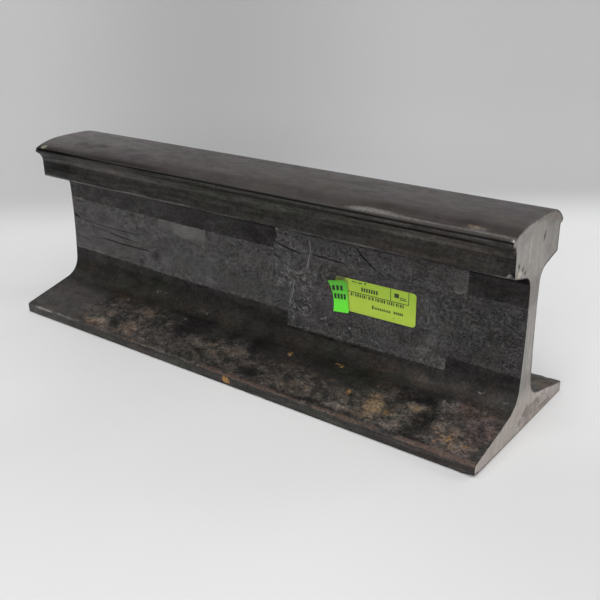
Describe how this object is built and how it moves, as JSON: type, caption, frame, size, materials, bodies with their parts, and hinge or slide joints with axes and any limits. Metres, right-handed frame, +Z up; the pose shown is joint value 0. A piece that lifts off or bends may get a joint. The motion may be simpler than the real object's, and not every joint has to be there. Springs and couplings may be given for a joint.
{
  "type": "rail section",
  "caption": "Short sawn length of worn flat-bottomed steel rail with rolled head lips, clear packing tape round the web, a paper label and a small lot tag.",
  "frame": {"origin": "centre of the length, middle of the foot, on the flat underside of the foot", "axes": "+X along the rail, +Y across it away from the labelled face, +Z up through the web to the running surface"},
  "size_m": [0.4378, 0.1366, 0.1485],
  "materials": {
    "rail_steel": "dark mill scale with brown rust, running surface satin, ends sawn bright",
    "tape_film": "clear film with haze and small trapped bubbles",
    "label_paper": "satin yellow-green paper with plain ruled lines",
    "tag_paper": "satin bright green paper"
  },
  "bodies": {
    "root": {"rail": "rail_steel", "tape_long": "tape_film", "tape_lower": "tape_film", "tape_upper": "tape_film", "paper_label": "label_paper", "lot_tag": "tag_paper"}
  },
  "joints": []
}
